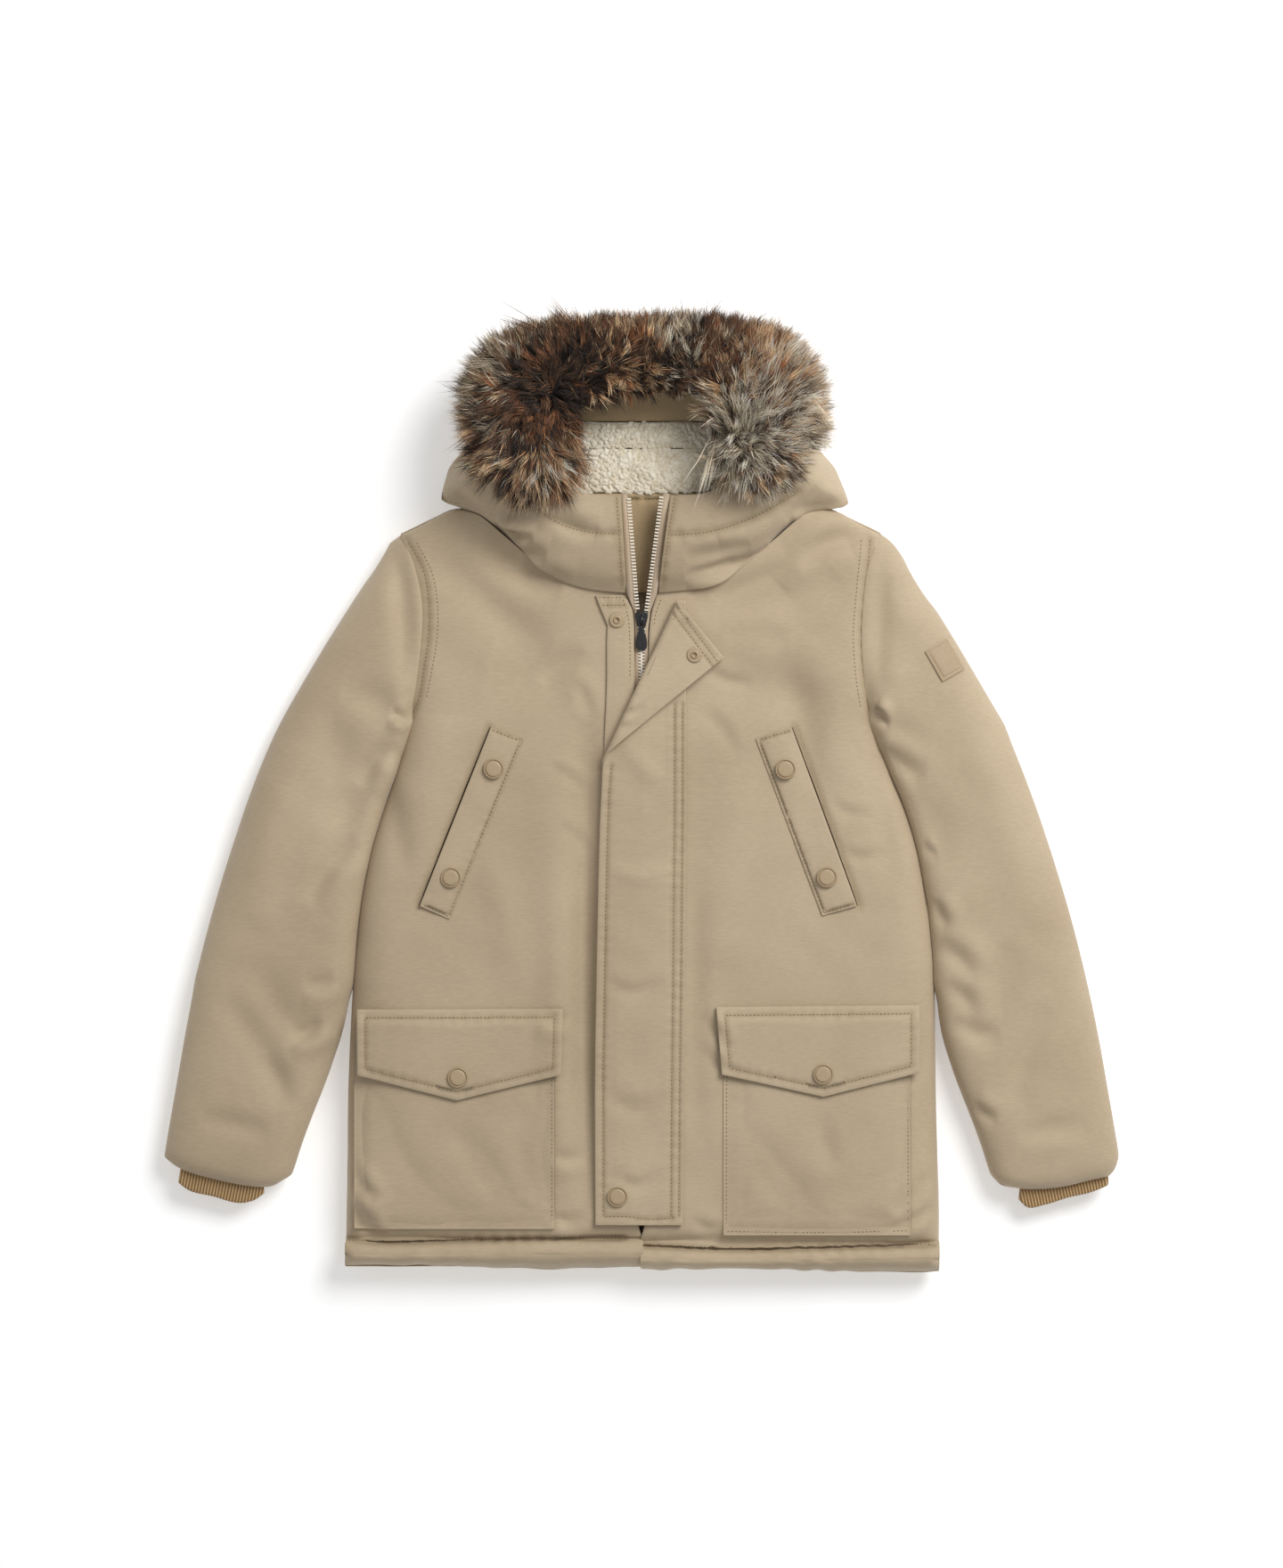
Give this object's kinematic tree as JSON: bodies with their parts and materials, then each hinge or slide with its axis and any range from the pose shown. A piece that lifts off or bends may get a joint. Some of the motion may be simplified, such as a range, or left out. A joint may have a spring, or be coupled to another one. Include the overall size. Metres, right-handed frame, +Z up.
{
  "type": "fur trimmed parka",
  "caption": "Child's padded parka laid flat on its back, zip open at the throat, storm flap corner turned back, hood opened upwards with a long fur trim.",
  "frame": {"origin": "on the table, under the middle of the coat's box", "axes": "+Z up from the table; +Y from the hem to the hood; -X is the wearer's right side"},
  "size_m": [0.7552, 0.7506, 0.1082],
  "materials": {
    "shell_cloth": "khaki tan cotton twill, padded",
    "lining_cloth": "plain woven facing in the shell colour",
    "pile_lining": "curly cream pile",
    "fur": "long fur in brown, tawny, black and grey",
    "rib_knit": "one by one rib knit",
    "zip_tape": "woven tape with moulded teeth",
    "snap_plastic": "moulded, tan",
    "slider_metal": "black lacquered die casting"
  },
  "bodies": {
    "coat": {"back": "shell_cloth", "front_right": "shell_cloth", "front_left": "shell_cloth", "sleeve_right": "shell_cloth", "sleeve_left": "shell_cloth", "cuff_right": "rib_knit", "cuff_left": "rib_knit", "hood_right": "shell_cloth", "hood_left": "shell_cloth", "hood_crown": "shell_cloth", "hood_back": "shell_cloth", "neck_facing": "lining_cloth", "hood_facing": "lining_cloth", "pile_panel": "pile_lining", "pile_band": "pile_lining", "fur_trim": "fur", "fly_underlap": "shell_cloth", "storm_flap": "shell_cloth", "zip_tape_right": "zip_tape", "zip_tape_left": "zip_tape", "zip_slider": "slider_metal", "welt_right": "shell_cloth", "welt_left": "shell_cloth", "pocket_right": "shell_cloth", "pocket_left": "shell_cloth", "pocket_flap_right": "shell_cloth", "pocket_flap_left": "shell_cloth", "sleeve_patch": "shell_cloth", "snap_welt_right_top": "snap_plastic", "snap_welt_right_low": "snap_plastic", "snap_welt_left_top": "snap_plastic", "snap_welt_left_low": "snap_plastic", "snap_pocket_right": "snap_plastic", "snap_pocket_left": "snap_plastic", "snap_flap_low": "snap_plastic", "snap_flap_top": "snap_plastic", "snap_underlap": "snap_plastic"},
    "pull": {"zip_pull": "slider_metal"}
  },
  "joints": [
    {"name": "pull_hinge", "type": "hinge", "parent": "coat", "child": "pull", "pos_m": [0, 0.13785, 0.03812], "axis": [-1, 0, 0], "range_deg": [0, 160]}
  ]
}
